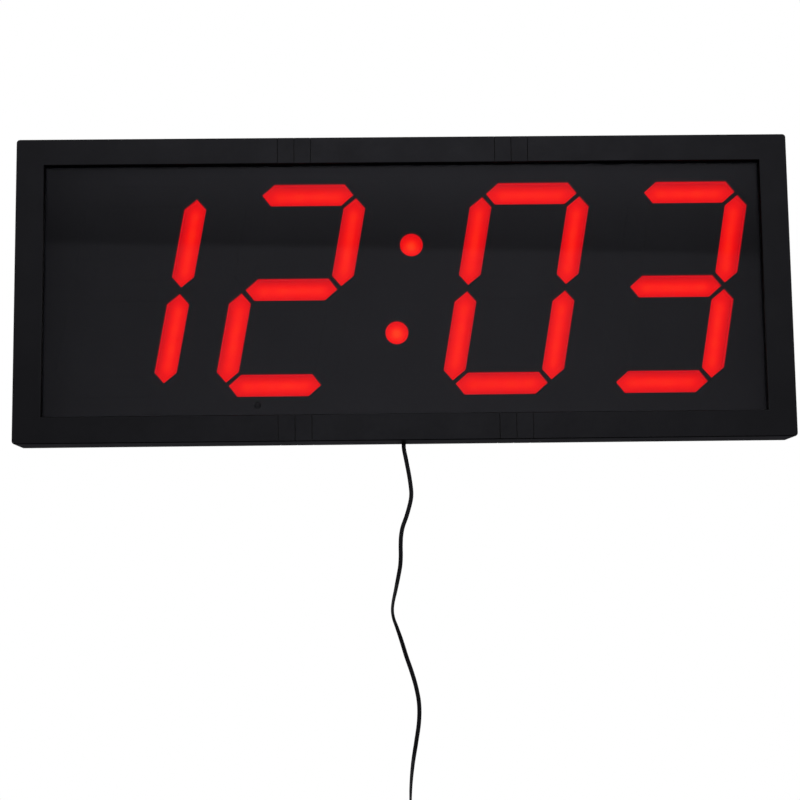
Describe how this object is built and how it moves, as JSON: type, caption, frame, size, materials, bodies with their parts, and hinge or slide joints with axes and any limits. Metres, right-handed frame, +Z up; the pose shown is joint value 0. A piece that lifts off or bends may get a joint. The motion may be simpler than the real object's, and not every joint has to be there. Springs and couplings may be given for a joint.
{
  "type": "gym round timer",
  "caption": "Wide flat wall timer: large red leaning segment digits and a colon behind a dark recessed window, black moulded frame, rear buttons and a hanging lead with its adapter.",
  "frame": {"origin": "centre of the back face, which lies flat against the wall", "axes": "+Z up, +X to the right of a person facing the timer, +Y out of the back towards the wall; the display faces -Y"},
  "size_m": [0.55, 0.03, 0.6126],
  "materials": {
    "frame_plastic": "satin-matte black moulded ABS",
    "window_acrylic": "glossy dark tinted acrylic",
    "mask_print": "flat black",
    "segment_diffuser": "translucent red diffusing plastic",
    "light_box_plastic": "white moulded reflector plastic",
    "board_laminate": "green solder-masked laminate",
    "screw_steel": "zinc-plated",
    "component_plastic": "black moulded epoxy and plastic",
    "cell_steel": "bright stainless can",
    "socket_plastic": "natural nylon",
    "ribbon_sleeve": "grey ribbon cable",
    "cover_plastic": "fine-textured black moulded ABS",
    "button_plastic": "dark grey moulded plastic",
    "soft_rubber": "matt black soft PVC",
    "cord_sheath": "black PVC twin lead",
    "adapter_plastic": "fine-textured black plastic",
    "prong_metal": "nickel-plated brass"
  },
  "bodies": {
    "casing": {"adapter_boot": "soft_rubber", "adapter_case": "adapter_plastic", "adapter_prong_left": "prong_metal", "adapter_prong_right": "prong_metal", "battery_holder": "component_plastic", "buzzer": "component_plastic", "coin_cell": "cell_steel", "colon_diffuser": "segment_diffuser", "colon_led_board": "board_laminate", "colon_light_box": "light_box_plastic", "control_board": "board_laminate", "control_board_screw_1": "screw_steel", "control_board_screw_2": "screw_steel", "cord_coil": "cord_sheath", "cord_grommet": "soft_rubber", "cord_tie": "soft_rubber", "cover_screw_1": "screw_steel", "cover_screw_2": "screw_steel", "cover_screw_3": "screw_steel", "cover_screw_4": "screw_steel", "cover_screw_5": "screw_steel", "cover_screw_6": "screw_steel", "digit_1_diffuser": "segment_diffuser", "digit_1_led_board": "board_laminate", "digit_1_light_box": "light_box_plastic", "digit_2_diffuser": "segment_diffuser", "digit_2_led_board": "board_laminate", "digit_2_light_box": "light_box_plastic", "digit_3_diffuser": "segment_diffuser", "digit_3_led_board": "board_laminate", "digit_3_light_box": "light_box_plastic", "digit_4_diffuser": "segment_diffuser", "digit_4_led_board": "board_laminate", "digit_4_light_box": "light_box_plastic", "down_switch": "component_plastic", "front_frame": "frame_plastic", "inner_lead": "cord_sheath", "ir_receiver": "component_plastic", "lead_socket": "socket_plastic", "led_board_screw_1": "screw_steel", "led_board_screw_2": "screw_steel", "led_board_screw_3": "screw_steel", "led_board_screw_4": "screw_steel", "led_board_screw_5": "screw_steel", "microcontroller": "component_plastic", "mode_switch": "component_plastic", "power_cord": "cord_sheath", "rear_cover": "cover_plastic", "ribbon_1_to_2": "ribbon_sleeve", "ribbon_3_to_4": "ribbon_sleeve", "ribbon_to_digit_2": "ribbon_sleeve", "ribbon_to_digit_3": "ribbon_sleeve", "segment_mask": "mask_print", "up_switch": "component_plastic", "window_panel": "window_acrylic"},
    "battery_door": {"battery_door": "cover_plastic"},
    "mode_button": {"mode_button": "button_plastic"},
    "up_button": {"up_button": "button_plastic"},
    "down_button": {"down_button": "button_plastic"}
  },
  "joints": [
    {"name": "battery_door_hinge", "type": "hinge", "parent": "casing", "child": "battery_door", "pos_m": [-0.038, 0, -0.0287], "axis": [-1, 0, 0], "range_deg": [0, 110]},
    {"name": "mode_button_press", "type": "slide", "parent": "casing", "child": "mode_button", "axis": [0, -1, 0], "range_m": [0, 0.0008], "stiffness_N_per_m": 600},
    {"name": "up_button_press", "type": "slide", "parent": "casing", "child": "up_button", "axis": [0, -1, 0], "range_m": [0, 0.0008], "stiffness_N_per_m": 600},
    {"name": "down_button_press", "type": "slide", "parent": "casing", "child": "down_button", "axis": [0, -1, 0], "range_m": [0, 0.0008], "stiffness_N_per_m": 600}
  ]
}
